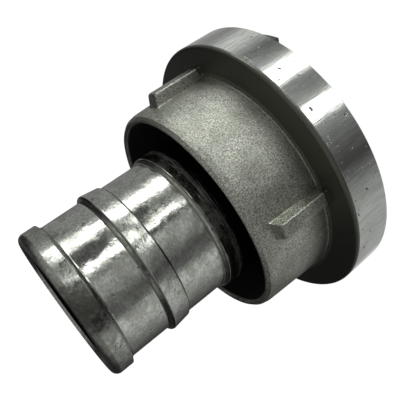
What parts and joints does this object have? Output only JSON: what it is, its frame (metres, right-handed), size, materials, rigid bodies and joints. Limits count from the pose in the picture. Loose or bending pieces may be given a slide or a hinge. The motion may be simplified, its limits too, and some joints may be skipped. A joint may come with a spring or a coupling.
{
  "type": "quarter turn fire hose coupling",
  "caption": "Symmetrical quarter turn fire hose coupling half: hooked lug ring with wrench ribs that swivels on a ribbed hose tail with a lip seal.",
  "frame": {"origin": "on the waterway's axis, level with the tips of the two lugs that it stands on", "axes": "+Z along the waterway from the coupling face to the end of the hose tail; the lugs lie on +Y and -Y"},
  "size_m": [0.098, 0.098, 0.1001],
  "materials": {
    "ring_casting": "blasted casting with a turned rim",
    "tail_casting": "tumbled, scuffed and shiny",
    "seal_rubber": "matte moulded",
    "spring_wire": "oiled wire"
  },
  "bodies": {
    "tail": {"hose_tail": "tail_casting", "face_seal": "seal_rubber", "snap_ring": "spring_wire"},
    "ring": {"lug_ring": "ring_casting"}
  },
  "joints": [
    {"name": "ring_swivel", "type": "hinge", "parent": "tail", "child": "ring", "pos_m": [0, 0, 0.02], "axis": [0, 0, 1], "continuous": true}
  ]
}
